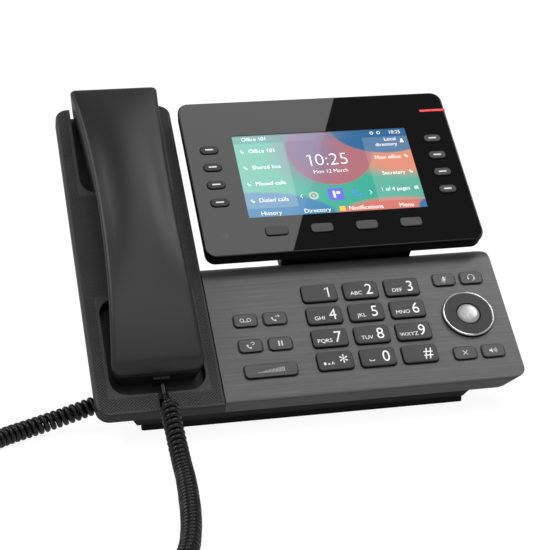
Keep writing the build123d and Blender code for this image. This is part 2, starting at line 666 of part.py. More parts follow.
RECEIVER_V, MICROPHONE_V = 119.0, -8.0
with BuildPart() as handset_inner_shell:
    add(handset_solid.part)
    add(handset_hollow.part, mode=Mode.SUBTRACT)
    add(upper_half, mode=Mode.SUBTRACT)
    add(plug_pocket.part, mode=Mode.SUBTRACT)
    for ring, count in ((3.0, 6), (6.5, 12)):
        for index in range(count):
            angle = 2 * math.pi * index / count
            disc((HANDSET_U + ring * math.cos(angle), RECEIVER_V + ring * math.sin(angle)), 0.9,
                 HANDSET_SEAT - 1, HANDSET_SEAT + HANDSET_WALL + 1, Mode.SUBTRACT)
    disc((HANDSET_U, MICROPHONE_V), 1.0, HANDSET_SEAT - 1, HANDSET_SEAT + HANDSET_WALL + 1, Mode.SUBTRACT)
finish(handset_inner_shell, "handset_inner_shell")

with BuildPart() as handset_capsules:
    disc((HANDSET_U, RECEIVER_V), 15.0, HANDSET_SEAT + HANDSET_WALL, HANDSET_SEAT + HANDSET_WALL + 7.0)
    disc((HANDSET_U, MICROPHONE_V), 5.0, HANDSET_SEAT + HANDSET_WALL, HANDSET_SEAT + HANDSET_WALL + 5.0)
finish(handset_capsules, "handset_capsules")


# ---- curly cord ---------------------------------------------------------------------------
def tube_radii(points):
    """The largest arcs that fit at a route's corners."""
    radii = []
    for before, here, after in zip(points, points[1:], points[2:]):
        arriving = Vector(*here) - Vector(*before)
        leaving = Vector(*after) - Vector(*here)
        turn = math.radians(arriving.get_angle(leaving))
        radii.append(0.45 * min(arriving.length, leaving.length) / math.tan(turn / 2))
    return radii


def cord_tube(name, points, diameter):
    """A tube along the route, with its volume checked against its length."""
    radii = tube_radii(points)
    with BuildPart() as tube:
        with BuildLine() as route:
            FilletPolyline(*points, radius=radii)
        start = Vector(*points[0])
        with BuildSketch(Plane(origin=start, z_dir=Vector(*points[1]) - start)):
            Circle(diameter / 2)
        sweep()
    length = sum(edge.length for edge in route.edges())
    print(name, "radii", [round(radius, 1) for radius in radii], "length", round(length, 1),
          "volume ratio", round(tube.part.volume / (length * math.pi * diameter ** 2 / 4), 4))
    finish(tube, name)


# The coil leaves the handset's end of the strip, drops off the front lip to the table,
# turns back in a loop to the left and rises to the socket in the lower housing's side.
COIL_ROUTE = [
    (-74.1, -82.2, 23.3),
    (-73.6, -96.0, 14.6),
    (-73.4, -113.0, 5.6),
    (-74.5, -132.0, 4.8),
    (-77.0, -154.0, 4.8),
    (-80.5, -178.0, 4.8),
    (-87.0, -204.0, 4.8),
    (-104.0, -223.0, 4.8),
    (-130.0, -229.0, 4.8),
    (-154.0, -219.0, 4.8),
    (-168.0, -197.0, 4.8),
    (-174.0, -170.0, 4.8),
    (-176.0, -142.0, 4.8),
    (-174.5, -116.0, 4.8),
    (-169.5, -93.0, 4.8),
    (-162.0, -77.0, 4.8),
    (-151.3, -66.0, 4.8),
    (-139.1, -59.2, 4.8),
    (-121.9, -54.5, 7.3),
    (-104.0, -53.5, 12.2),
    (-94.5, -52.8, 15.3),
]
LEAD_ROUTE = [
    (-74.5, -70.2, 26.0),
    (-74.4, -74.8, 22.9),
    (-74.1, -80.5, 20.7),
]
cord_tube("cord_coil", COIL_ROUTE, COIL_DIAMETER)
cord_tube("handset_cord_lead", LEAD_ROUTE, WIRE_DIAMETER)

with BuildPart() as handset_cord_plug:
    slab(PLUG_U - PLUG_WIDTH / 2, PLUG_U + PLUG_WIDTH / 2, HANDSET_LOW - 1.6, HANDSET_LOW + 11.0,
         PLUG_W - PLUG_HEIGHT / 2, PLUG_W + PLUG_HEIGHT / 2, 0.3)
finish(handset_cord_plug, "handset_cord_plug")

with BuildPart() as base_cord_plug:
    slab(TUB_LEFT + 0.5, TUB_LEFT + 15.0, HANDSET_JACK_V - PLUG_WIDTH / 2, HANDSET_JACK_V + PLUG_WIDTH / 2,
         HANDSET_JACK_W - PLUG_HEIGHT / 2, HANDSET_JACK_W + PLUG_HEIGHT / 2, 0.3)
    with BuildSketch(section(COIL_ROUTE[-1][0] - MIDDLE_X)) as boot:
        with Locations((HANDSET_JACK_V, HANDSET_JACK_W)):
            Circle(BOOT_RADIUS)
    extrude(boot.sketch, amount=TUB_LEFT + MIDDLE_X + 1.0 - COIL_ROUTE[-1][0])
finish(base_cord_plug, "base_cord_plug")
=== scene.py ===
import json
import math

import bpy
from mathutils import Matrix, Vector


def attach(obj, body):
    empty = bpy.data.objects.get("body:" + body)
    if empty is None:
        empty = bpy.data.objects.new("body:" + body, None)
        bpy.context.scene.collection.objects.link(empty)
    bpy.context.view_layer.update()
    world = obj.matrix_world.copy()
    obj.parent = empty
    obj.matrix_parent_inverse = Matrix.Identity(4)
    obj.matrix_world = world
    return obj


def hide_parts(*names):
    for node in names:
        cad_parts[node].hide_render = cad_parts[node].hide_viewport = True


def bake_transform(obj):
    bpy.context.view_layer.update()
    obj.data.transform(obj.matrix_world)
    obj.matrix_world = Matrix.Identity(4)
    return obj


# A desk IP phone. The scene is in metres. Artwork and small parts are given in
# millimetres of the sloping panel frame: u to the right, v up the slope, w outward.

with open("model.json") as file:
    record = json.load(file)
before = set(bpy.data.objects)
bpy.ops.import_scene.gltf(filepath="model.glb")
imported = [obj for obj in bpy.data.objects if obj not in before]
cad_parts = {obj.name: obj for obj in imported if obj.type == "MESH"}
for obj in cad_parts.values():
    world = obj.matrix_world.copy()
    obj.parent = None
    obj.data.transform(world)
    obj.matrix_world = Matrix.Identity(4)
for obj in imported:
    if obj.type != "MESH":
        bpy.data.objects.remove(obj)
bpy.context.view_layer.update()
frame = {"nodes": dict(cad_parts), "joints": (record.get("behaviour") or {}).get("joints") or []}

MM = 0.001
NODES = frame["nodes"]
DIAL_KEY_TOP = 1.5
CAP_DEPTH = 1.2

# ---- the panel frame ----
RIGHT = Vector((1, 0, 0))
OUTWARD = next(Vector(joint["axis"]).normalized() for joint in frame["joints"]
               if joint["name"] == "handset_lift")
UP_SLOPE = OUTWARD.cross(RIGHT)


def extent(node, origin):
    """Lowest and highest u, v and w of a CAD node, in millimetres from an origin."""
    points = [vertex.co - origin for vertex in NODES[node].data.vertices]
    spans = [[point.dot(axis) / MM for point in points] for axis in (RIGHT, UP_SLOPE, OUTWARD)]
    return [min(values) for values in spans], [max(values) for values in spans]


def panel_origin():
    """The point of the panel's surface under the middle of the 5 key."""
    low, high = extent("dial_key_5", Vector())
    middle = [(a + b) / 2 for a, b in zip(low, high)]
    return (RIGHT * middle[0] + UP_SLOPE * middle[1] + OUTWARD * (high[2] - DIAL_KEY_TOP)) * MM


ORIGIN = panel_origin()


def at(u, v, w):
    """A point of the panel frame, given in millimetres, as a point of the scene."""
    return ORIGIN + (RIGHT * u + UP_SLOPE * v + OUTWARD * w) * MM


def middle_of(node):
    """The middle of a CAD node in u and v, and its highest w."""
    low, high = extent(node, ORIGIN)
    return (low[0] + high[0]) / 2, (low[1] + high[1]) / 2, high[2]


def added(name, data):
    """A new object that holds some data, in the scene."""
    made = bpy.data.objects.new(name, data)
    bpy.context.scene.collection.objects.link(made)
    return made


def surface(name, points, faces, materials, smooth=False):
    """A new object from points in metres and faces."""
    data = bpy.data.meshes.new(name)
    data.from_pydata([tuple(point) for point in points], [], faces)
    for material in materials:
        data.materials.append(material)
    if smooth:
        data.polygons.foreach_set("use_smooth", [True] * len(faces))
    return added(name, data)


def flattened(holder):
    """The mesh that a curve object gives; the object goes."""
    bpy.context.view_layer.update()
    mesh = bpy.data.meshes.new_from_object(holder)
    bpy.data.objects.remove(holder)
    return mesh


def circle_points(u, v, radius, first, last, steps):
    """Points along a circle from one angle to another in degrees, both ends included."""
    turns = [math.radians(first + (last - first) * step / steps) for step in range(steps + 1)]
    return [(u + radius * math.cos(turn), v + radius * math.sin(turn)) for turn in turns]


# ---- materials ----
def linear(value):
    """One channel of a screen colour, 0 to 255, as light."""
    share = value / 255
    return share / 12.92 if share <= 0.04045 else ((share + 0.055) / 1.055) ** 2.4


def rgb(red, green, blue):
    """A screen colour as light, with full opacity."""
    return linear(red), linear(green), linear(blue), 1.0


def grey(value):
    """A neutral screen grey as light."""
    return rgb(value, value, value)


class Shader:
    """A material built from nodes around one principled surface."""

    def __init__(self, name, colour, roughness, **inputs):
        self.material = bpy.data.materials.new(name)
        self.material.use_nodes = True
        self.tree = self.material.node_tree
        self.surface = self.tree.nodes["Principled BSDF"]
        self.surface.inputs["Base Color"].default_value = colour
        self.surface.inputs["Roughness"].default_value = roughness
        for key, value in inputs.items():
            self.surface.inputs[key.replace("_", " ")].default_value = value
        self.place = self.panel_millimetres()

    def node(self, kind, **settings):
        """A new node with its properties set."""
        made = self.tree.nodes.new("ShaderNode" + kind)
        for key, value in settings.items():
            setattr(made, key, value)
        return made

    def feed(self, target, value):
        """Put a socket or a plain value into an input."""
        if isinstance(value, bpy.types.NodeSocket):
            self.tree.links.new(value, target)
        else:
            target.default_value = value

    def maths(self, operation, first, second=0.0):
        """One arithmetic step."""
        made = self.node("Math", operation=operation)
        self.feed(made.inputs[0], first)
        self.feed(made.inputs[1], second)
        return made.outputs[0]

    def length(self, first, second):
        """The length of a line with the given two parts."""
        squares = [self.maths("MULTIPLY", part, part) for part in (first, second)]
        return self.maths("SQRT", self.maths("ADD", *squares))

    def panel_millimetres(self):
        """The place on the object as u, v and w in millimetres."""
        source = self.node("TexCoord").outputs["Object"]
        offset = self.node("VectorMath", operation="SUBTRACT")
        self.feed(offset.inputs[0], source)
        offset.inputs[1].default_value = ORIGIN
        joined = self.node("CombineXYZ")
        for index, axis in enumerate((RIGHT, UP_SLOPE, OUTWARD)):
            along = self.node("VectorMath", operation="DOT_PRODUCT")
            self.feed(along.inputs[0], offset.outputs[0])
            along.inputs[1].default_value = axis / MM
            self.feed(joined.inputs[index], along.outputs["Value"])
        return joined.outputs[0]

    def stretched(self, scales, turn=0.0):
        """The place scaled by a factor on each axis, turned about the outward one."""
        mapping = self.node("Mapping")
        self.feed(mapping.inputs["Vector"], self.place)
        mapping.inputs["Scale"].default_value = scales
        mapping.inputs["Rotation"].default_value = (0, 0, turn)
        return mapping.outputs[0]

    def part(self, index):
        """One of u, v and w."""
        split = self.node("SeparateXYZ")
        self.feed(split.inputs[0], self.place)
        return split.outputs[index]

    def noise(self, scales, detail=2.0):
        """Noise with the given number of features per millimetre on each axis."""
        made = self.node("TexNoise")
        self.feed(made.inputs["Vector"], self.stretched(scales))
        made.inputs["Scale"].default_value = 1.0
        made.inputs["Detail"].default_value = detail
        return made.outputs["Fac"]

    def ranged(self, value, low, high, to_low, to_high, smooth=False):
        """A value moved from one range to another."""
        made = self.node("MapRange", interpolation_type="SMOOTHSTEP" if smooth else "LINEAR")
        for name, given in (("Value", value), ("From Min", low), ("From Max", high),
                            ("To Min", to_low), ("To Max", to_high)):
            self.feed(made.inputs[name], given)
        return made.outputs[0]

    def mixed(self, share, first, second):
        """Two colours mixed."""
        made = self.node("Mix", data_type="RGBA")
        for index, given in ((0, share), (6, first), (7, second)):
            self.feed(made.inputs[index], given)
        return made.outputs[2]

    def bump(self, height, depth):
        """Relief of the given depth in millimetres."""
        made = self.node("Bump")
        made.inputs["Distance"].default_value = depth * MM
        self.feed(made.inputs["Height"], height)
        previous = self.surface.inputs["Normal"]
        if previous.is_linked:
            self.feed(made.inputs["Normal"], previous.links[0].from_socket)
        self.feed(previous, made.outputs[0])

    def set(self, name, value):
        """Feed one input of the surface."""
        self.feed(self.surface.inputs[name], value)

    def glow(self, colour, strength):
        """Light of the surface's own."""
        self.set("Emission Color", colour)
        self.set("Emission Strength", strength)

    def colour(self):
        """The present base colour, as a socket or a plain value."""
        current = self.surface.inputs["Base Color"]
        return current.links[0].from_socket if current.is_linked else current.default_value[:]

    def facing(self, low, high):
        """0 on sides and 1 on faces turned outward, between two cosines."""
        turned_out = self.node("VectorMath", operation="DOT_PRODUCT")
        self.feed(turned_out.inputs[0], self.node("TexCoord").outputs["Normal"])
        turned_out.inputs[1].default_value = OUTWARD
        return self.ranged(turned_out.outputs["Value"], low, high, 0.0, 1.0, True)

    def paint_shade_on_sides(self, side, low=0.3, high=0.85):
        """Painted shade: give the faces that don't look outward another colour, darker as if in shadow."""
        top = self.colour()
        self.set("Base Color", self.mixed(self.facing(low, high), side, top))

    def inside(self, low_u, high_u, low_v, high_v, soft=0.15):
        """1 inside a rectangle of the panel frame and 0 outside."""
        share = 1.0
        for index, low, high in ((0, low_u, high_u), (1, low_v, high_v)):
            value = self.part(index)
            for edge, outer, inner in ((low, 0.0, 1.0), (high, 1.0, 0.0)):
                step = self.ranged(value, edge - soft, edge + soft, outer, inner)
                share = self.maths("MULTIPLY", share, step)
        return share


def scaled(colour, factor):
    """A colour made darker or lighter, with full opacity."""
    return tuple(min(1.0, channel * factor) for channel in colour[:3]) + (1,)


def moulded(name, colour, roughness, grain=3.0, depth=0.012, **inputs):
    """Moulded plastic: fine spark texture, slight clouds of colour and of gloss."""
    spread = 0.14
    shader = Shader(name, colour, roughness, **inputs)
    spark = shader.noise((grain, grain, grain), 3.0)
    cloud = shader.noise((0.05, 0.05, 0.05), 2.0)
    tone = shader.maths("MULTIPLY", shader.maths("ADD", spark, cloud), 0.5)
    clouded = shader.mixed(shader.ranged(tone, 0.35, 0.65, 0.0, 1.0),
                           scaled(colour, 1 - spread), scaled(colour, 1 + spread))
    shader.set("Base Color", clouded)
    gloss = shader.ranged(spark, 0.3, 0.7, roughness - 0.05, roughness + 0.06)
    shader.set("Roughness", gloss)
    shader.bump(spark, depth)
    return shader


def ink(name, colour, glow=0.0):
    """Printed or lit artwork, with the slight unevenness of screen printing; a glow on the keys' print is
    painted light, while on the screen and the lamps it is their own light.
    """
    shader = Shader(name, colour, 0.45)
    speck = shader.noise((6.0, 6.0, 6.0), 1.0)
    tone = shader.mixed(shader.ranged(speck, 0.3, 0.7, 0.0, 1.0), scaled(colour, 0.88), colour)
    shader.set("Base Color", tone)
    if glow:
        shader.glow(tone, glow)
    return shader.material


# ---- artwork ----
def glyphs(words, weight):
    """Points and faces of a line of text, one unit to the type size."""
    curve = bpy.data.curves.new("words", "FONT")
    curve.body = words
    curve.offset = weight
    curve.resolution_u = 4
    mesh = flattened(added("words", curve))
    points = [(vertex.co.x, vertex.co.y) for vertex in mesh.vertices]
    faces = [tuple(face.vertices) for face in mesh.polygons]
    bpy.data.meshes.remove(mesh)
    return points, faces


CAPITAL = max(point[1] for point in glyphs("H", 0.0)[0])


def rounded_outline(u, v, width, height, corner):
    """A rectangle's outline with round corners."""
    outline = []
    for side_u, side_v, first in ((1, 1, 0), (-1, 1, 90), (-1, -1, 180), (1, -1, 270)):
        outline += circle_points(u + side_u * (width / 2 - corner), v + side_v * (height / 2 - corner),
                                 corner, first, first + 90, 6)
    return outline


def cap_size(node):
    """The width and height of a key's cap, without the flange at its foot."""
    floor_of_cap = middle_of(node)[2] - CAP_DEPTH
    points = [vertex.co - ORIGIN for vertex in NODES[node].data.vertices]
    cap = [point for point in points if point.dot(OUTWARD) / MM > floor_of_cap]
    spans = [[point.dot(axis) / MM for point in cap] for axis in (RIGHT, UP_SLOPE)]
    return [max(values) - min(values) for values in spans]


class Art:
    """Flat artwork on one level of the panel frame, collected into one mesh."""

    def __init__(self, level):
        self.level = level
        self.points = []
        self.faces = []
        self.inks = []

    def face(self, outline, ink_number=0):
        """A filled outline."""
        start = len(self.points)
        self.points += [at(u, v, self.level) for u, v in outline]
        self.faces.append(tuple(range(start, start + len(outline))))
        self.inks.append(ink_number)

    def bar(self, u, v, width, height):
        """A filled rectangle about its centre."""
        self.face([(u + side_u * width / 2, v + side_v * height / 2)
                   for side_u, side_v in ((-1, -1), (1, -1), (1, 1), (-1, 1))])

    def stroke(self, line, width, ink_number=0, closed=False):
        """A line of even width with mitred corners."""
        count = len(line)
        left, right = [], []
        for index, (u, v) in enumerate(line):
            before = line[index - 1] if index or closed else line[index]
            after = line[(index + 1) % count] if index < count - 1 or closed else line[index]
            along = Vector((after[0] - before[0], after[1] - before[1])).normalized()
            across = Vector((-along.y, along.x)) * (width / 2)
            left.append((u + across.x, v + across.y))
            right.append((u - across.x, v - across.y))
        for index in range(count if closed else count - 1):
            following = (index + 1) % count
            self.face([right[index], right[following], left[following], left[index]], ink_number)

    def arc(self, u, v, radius, width, start=0.0, end=360.0, ink_number=0, steps=28):
        """A stroke along a circle, from one angle to another in degrees."""
        closed = abs(end - start) >= 360
        line = circle_points(u, v, radius, start, end, steps)
        self.stroke(line[:-1] if closed else line, width, ink_number, closed)

    def disc(self, u, v, radius):
        """A filled circle."""
        self.face(circle_points(u, v, radius, 0, 360, 24)[:-1])

    def rounded(self, u, v, width, height, corner, ink_number=0):
        """A filled rectangle with round corners."""
        self.face(rounded_outline(u, v, width, height, corner), ink_number)

    def write(self, words, u, v, capital, align="centre", stretch=1.0, weight=0.0):
        """A line of text whose capitals stand about v."""
        points, faces = glyphs(words, weight)
        scale = capital / CAPITAL
        low = min(point[0] for point in points) * scale * stretch
        high = max(point[0] for point in points) * scale * stretch
        shift = {"left": u - low, "right": u - high, "centre": u - (low + high) / 2}[align]
        start = len(self.points)
        self.points += [at(x * scale * stretch + shift, y * scale + v - capital / 2, self.level)
                        for x, y in points]
        self.faces += [tuple(start + index for index in face) for face in faces]
        self.inks += [0] * len(faces)

    def mesh(self, name, inks, body, slot):
        """The collected artwork as a piece that rides on a body."""
        piece = surface(name, self.points, self.faces, inks)
        piece.data.polygons.foreach_set("material_index", self.inks)
        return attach(piece, body)


# ---- icons: their coordinates are millimetres from the key's centre ----
def handset_icon(art, u, v, size=1.0):
    """A tilted handset."""
    centre_u, centre_v = u + 1.05 * size, v + 1.05 * size
    for radius, width, start, end, steps in ((2.35, 0.62, 182, 268, 14), (2.2, 1.2, 180, 200, 4),
                                             (2.2, 1.2, 250, 270, 4)):
        art.arc(centre_u, centre_v, radius * size, width * size, start, end, steps=steps)


def voicemail_icon(art, u, v):
    """Two tape loops on a line."""
    for side in (-1.75, 1.75):
        art.arc(u + side, v, 0.95, 0.38)
    art.bar(u, v - 0.95, 3.6, 0.36)


def forward_icon(art, u, v):
    """A handset and an arrow to the right."""
    handset_icon(art, u - 0.5, v - 0.35, 0.9)
    art.stroke([(u + 0.3, v + 1.1), (u + 2.3, v + 1.1)], 0.34)
    art.stroke([(u + 1.6, v + 1.75), (u + 2.3, v + 1.1), (u + 1.6, v + 0.45)], 0.34)


def redial_icon(art, u, v):
    """A handset and a turning arrow."""
    handset_icon(art, u - 0.5, v - 0.35, 0.9)
    art.arc(u + 1.2, v + 1.15, 0.78, 0.32, -120, 170, steps=18)


def hold_icon(art, u, v):
    """Two upright bars."""
    for side in (-0.75, 0.75):
        art.bar(u + side, v, 0.72, 3.0)


def mute_icon(art, u, v):
    """A microphone struck through."""
    art.rounded(u, v + 0.55, 1.15, 2.3, 0.55)
    art.arc(u, v + 0.35, 1.15, 0.26, 180, 360, steps=14)
    art.bar(u, v - 1.25, 0.26, 0.9)
    art.bar(u, v - 1.7, 1.3, 0.26)
    art.stroke([(u - 1.6, v - 1.6), (u + 1.6, v + 1.7)], 0.26)


def headset_icon(art, u, v):
    """A headband with two ear pads and a microphone arm."""
    art.arc(u, v + 0.1, 1.65, 0.3, 0, 180, steps=18)
    for side in (-1.6, 1.6):
        art.rounded(u + side, v - 0.45, 0.72, 1.3, 0.3)
    art.stroke([(u + 1.6, v - 1.0), (u + 1.2, v - 1.7), (u + 0.2, v - 1.75)], 0.26)


def cancel_icon(art, u, v):
    """A cross."""
    for rise in (1.25, -1.25):
        art.stroke([(u - 1.25, v - rise), (u + 1.25, v + rise)], 0.34)


def speaker_icon(art, u, v):
    """A loudspeaker with three sound waves."""
    art.face([(u - 2.1, v - 0.5), (u - 1.4, v - 0.5), (u - 0.4, v - 1.35), (u - 0.4, v + 1.35),
              (u - 1.4, v + 0.5), (u - 2.1, v + 0.5)])
    for radius in (0.7, 1.4, 2.1):
        art.arc(u - 0.3, v, radius, 0.28, -42, 42, steps=10)


# Each icon's function is named after its key's node.
FEATURE_ICONS = {icon.__name__.replace("icon", "key"): icon for icon in (
    voicemail_icon, forward_icon, redial_icon, hold_icon,
    mute_icon, headset_icon, cancel_icon, speaker_icon)}
DIAL_KEYS = [*"1234567890", "star", "hash"]
DIAL_LETTERS = dict(zip("23456789", ("ABC", "DEF", "GHI", "JKL", "MNO", "PQRS", "TUV", "WXYZ")))
DIGIT_HEIGHT, STAR_HEIGHT, LETTER_HEIGHT = 6.1, 7.5, 2.1
LEGEND_HEIGHT = 0.03
RAMP_BARS, RAMP_LENGTH = 20, 13.0
# Painted light: the white and icon print on the keys glow a little so that they read brighter.
WHITE_INK = ink("white_print_painted_glow", grey(250), 0.3)
ICON_INK = ink("icon_print_painted_glow", grey(225), 0.12)
# Dark ink serves for real print, and also for painted shade in the key gaps and the sound holes.
DARK_PRINT_AND_SHADE = ink("dark_print_and_shade", grey(18))


def dial_legends():
    """The digit and letters on each dial key."""
    for name in DIAL_KEYS:
        node = "dial_key_" + name
        u, v, top = middle_of(node)
        art = Art(top + LEGEND_HEIGHT)
        if name == "1":
            art.stroke([(u + 2.9, v + 1.7), (u + 4.5, v + 2.75), (u + 4.5, v - 3.0)], 0.72)
        elif name == "star":
            art.write("*", u + 4.1, v - 1.3, STAR_HEIGHT, stretch=0.92)
        else:
            sign = "#" if name == "hash" else name
            art.write(sign, u + 4.1, v, DIGIT_HEIGHT, stretch=0.92, weight=-0.004 if name == "4" else 0.0)
        if name in DIAL_LETTERS:
            art.write(DIAL_LETTERS[name], u - 2.9, v - 1.9, LETTER_HEIGHT, stretch=1.04, weight=-0.002)
        if name == "star":
            art.rounded(u - 5.6, v - 1.7, 1.1, 1.5, 0.3)
            art.disc(u - 3.6, v - 2.0, 0.5)
            art.write("A", u - 1.6, v - 1.6, 1.7)
        if name == "0":
            art.stroke([(u - 4.6, v - 1.4), (u - 4.6, v - 2.2), (u - 2.2, v - 2.2), (u - 2.2, v - 1.4)], 0.35)
        if name == "5":
            art.rounded(u + 4.0, v + 4.0, 3.1, 0.7, 0.3, 1)
        art.mesh("legend_" + node, [WHITE_INK, DARK_PRINT_AND_SHADE], node, "dial_key_grey")


def feature_legends():
    """The icon on each feature key and the ramp on the volume bar."""
    for node, icon in FEATURE_ICONS.items():
        u, v, top = middle_of(node)
        art = Art(top + LEGEND_HEIGHT)
        icon(art, u, v)
        art.mesh("legend_" + node, [ICON_INK], node, "feature_key_grey")
    u, v, top = middle_of("volume_rocker")
    art = Art(top + LEGEND_HEIGHT)
    for index in range(RAMP_BARS):
        share = index / (RAMP_BARS - 1)
        height = 0.4 + 2.4 * share
        art.bar(u - RAMP_LENGTH / 2 + RAMP_LENGTH * share, v - 1.4 + height / 2, 0.2, height)
    art.mesh("legend_volume_rocker", [ICON_INK], "volume_rocker", "feature_key_grey")


def painted_key_gap_shade():
    """Painted shade: dark rings laid on the panel round the small keys, at the edge of each opening, for the
    shade in the gaps.
    """
    art = Art(LEGEND_HEIGHT)
    for node in [*FEATURE_ICONS, "volume_rocker"]:
        u, v, _ = middle_of(node)
        width, height = cap_size(node)
        art.stroke(rounded_outline(u, v, width + 0.7, height + 0.7, 2.2), 0.75, 0, True)
    art.mesh("key_gap_shadows", [DARK_PRINT_AND_SHADE], "base", "housing_black")


# ---- the screen ----
SCREEN_U, SCREEN_V, SCREEN_TOP = middle_of("lcd_module")
SCREEN_WIDTH, SCREEN_HEIGHT = 95.6, 54.4
GLOW = 0.95

# Soft-edged fields of the wallpaper: centre and radii from the screen's middle, colour, edge.
FIELDS = [
    ((44.0, 6.0), (26.0, 10.0), rgb(238, 132, 92), 0.45),
    ((2.9, 13.9), (23.0, 22.8), rgb(186, 112, 122), 0.03),
    ((-9.0, 14.5), (14.0, 17.0), rgb(140, 120, 160), 0.8),
    ((36.0, 30.0), (30.0, 19.5), rgb(10, 104, 160), 0.03),
    ((-45.0, -33.0), (46.0, 22.0), rgb(62, 140, 188), 0.04),
    ((30.0, -36.0), (36.0, 16.5), rgb(226, 126, 112), 0.1),
    ((49.5, -26.0), (6.0, 4.6), rgb(40, 120, 170), 0.1),
]


def wallpaper_material():
    """The lit picture: a mint ground with soft round fields of colour under the label bands."""
    shader = Shader("screen_wallpaper", grey(4), 0.1, Coat_Weight=0.2, Coat_Roughness=0.01)
    u = shader.maths("SUBTRACT", shader.part(0), SCREEN_U)
    v = shader.maths("SUBTRACT", shader.part(1), SCREEN_V)
    ground = shader.mixed(shader.ranged(u, -48.0, 40.0, 0.0, 1.0), rgb(84, 196, 172), rgb(30, 176, 150))
    for (centre_u, centre_v), (radius_u, radius_v), colour, soft in FIELDS:
        across = shader.maths("DIVIDE", shader.maths("SUBTRACT", u, centre_u), radius_u)
        up = shader.maths("DIVIDE", shader.maths("SUBTRACT", v, centre_v), radius_v)
        within = shader.ranged(shader.length(across, up), 1 - soft, 1 + soft, 1.0, 0.0, True)
        ground = shader.mixed(within, ground, colour)
    for low, high, share in ((-48.5, -20.5, 0.13), (22.5, 48.5, 0.10)):
        band = shader.inside(SCREEN_U + low, SCREEN_U + high, SCREEN_V - 21.5, SCREEN_V + 21.5, 0.2)
        ground = shader.mixed(shader.maths("MULTIPLY", band, share), ground, grey(255))
    top_bar = shader.ranged(v, 21.6, 22.0, 0.0, 0.45)
    bar_share = shader.ranged(u, -20.0, 25.0, 0.0, 1.0, True)
    bar_tone = shader.mixed(bar_share, rgb(150, 155, 180), rgb(20, 96, 150))
    ground = shader.mixed(top_bar, ground, bar_tone)
    ground = shader.mixed(shader.ranged(v, 26.2, 27.0, 0.0, 0.7), ground, grey(20))
    dot = shader.noise((9.0, 9.0, 9.0), 0.0)
    ground = shader.mixed(shader.ranged(dot, 0.2, 0.8, 0.0, 0.06), ground, grey(255))
    shader.glow(ground, GLOW)
    return shader.material


def screen_point(across, down):
    """A place on the screen from its shares across and down, in u and v."""
    return SCREEN_U + (across - 0.5) * SCREEN_WIDTH, SCREEN_V + (0.5 - down) * SCREEN_HEIGHT


def person_icon(art, u, v):
    """A head and shoulders."""
    art.disc(u, v + 0.7, 0.62)
    art.face([(u - 1.2, v - 1.1), (u + 1.2, v - 1.1), (u + 0.8, v - 0.1), (u - 0.8, v - 0.1)])


def screen_labels():
    """Labels, clock and small icons of the idle screen."""
    art = Art(SCREEN_TOP + 0.05)

    def label(words, across, down, capital, align="left", stretch=0.96, weight=-0.008):
        art.write(words, *screen_point(across, down), capital, align, stretch, weight)

    label("Office 101", 0.052, 0.05, 2.3)
    label("10:25", 0.967, 0.05, 2.2, "right")
    for row, words in enumerate(("Office 101", "Shared line", "Missed calls", "Dialed calls")):
        down = 0.2 + 0.2 * row
        label(words, 0.078, down, 2.45)
        handset_icon(art, *screen_point(0.042, down), 0.62)
    for words, down, capital in (
            ("Local", 0.135, 2.3), ("directory", 0.2, 2.3), ("Main office", 0.36, 2.35),
            ("Secretary", 0.555, 2.35), ("1 of 4 pages", 0.755, 2.35)):
        label(words, 0.93, down, capital, "right")
    person_icon(art, *screen_point(0.962, 0.165))
    for across, down in ((0.965, 0.355), (0.967, 0.55)):
        handset_icon(art, *screen_point(across, down), 0.62)
    u, v = screen_point(0.968, 0.755)
    for rise in (-0.7, 0.0, 0.7):
        art.bar(u, v + rise, 2.2, 0.32)
    label("0:25", 0.530, 0.348, 7.6, "centre", 0.98, -0.022)
    u, v = screen_point(0.412, 0.348)
    art.stroke([(u - 1.7, v + 2.6), (u, v + 3.6), (u, v - 3.8)], 0.62)
    label("Mon 12 March", 0.511, 0.494, 2.3, "centre", 0.95, -0.012)
    for words, across in (("History", 0.128), ("Directory", 0.383), ("Notifications", 0.655),
                          ("Menu", 0.884)):
        label(words, across, 0.955, 2.5, "centre", 0.98, -0.008)
    for across, lean in ((0.312, 1), (0.705, -1)):
        u, v = screen_point(across, 0.78)
        art.stroke([(u + 0.6 * lean, v + 1.2), (u - 0.4 * lean, v), (u + 0.6 * lean, v - 1.2)], 0.3)
    for across in (0.80, 0.84):
        art.arc(*screen_point(across, 0.05), 0.85, 0.28)
    art.mesh("screen_labels", [ink("screen_white", grey(250), GLOW)], "display", "screen_glass")


def screen_icons():
    """The row of application icons and the notification square."""
    tones = {"cream": (160, 176, 160), "violet": (80, 84, 190), "blue": (40, 120, 180),
             "amber": (245, 166, 35), "dark": (60, 90, 110)}
    colours = [ink("icon_" + name, rgb(*tone), GLOW) for name, tone in tones.items()]
    art = Art(SCREEN_TOP + 0.04)
    u, v = screen_point(0.381, 0.78)
    art.disc(u, v, 2.6)
    art.arc(u, v, 1.15, 0.6, ink_number=4)
    u, v = screen_point(0.507, 0.78)
    art.rounded(u, v, 8.4, 8.0, 1.4, 1)
    u, v = screen_point(0.631, 0.77)
    art.arc(u, v, 2.3, 1.6, 120, 330, 2)
    u, v = screen_point(0.522, 0.955)
    art.rounded(u, v, 2.9, 2.9, 0.3, 3)
    art.mesh("screen_icons", colours, "display", "screen_glass")
    art = Art(SCREEN_TOP + 0.06)
    u, v = screen_point(0.507, 0.78)
    art.rounded(u - 1.0, v, 1.3, 4.6, 0.4)
    art.rounded(u + 1.3, v + 1.0, 2.0, 1.7, 0.4)
    art.mesh("screen_icon_marks", [ink("icon_pale", grey(205), GLOW)], "display", "screen_glass")


def screen():
    """The lit picture over the display module's face."""
    art = Art(SCREEN_TOP + 0.02)
    art.bar(SCREEN_U, SCREEN_V, SCREEN_WIDTH - 0.2, SCREEN_HEIGHT - 0.2)
    art.mesh("screen_picture", [wallpaper_material()], "display", "screen_glass")
    screen_labels()
    screen_icons()


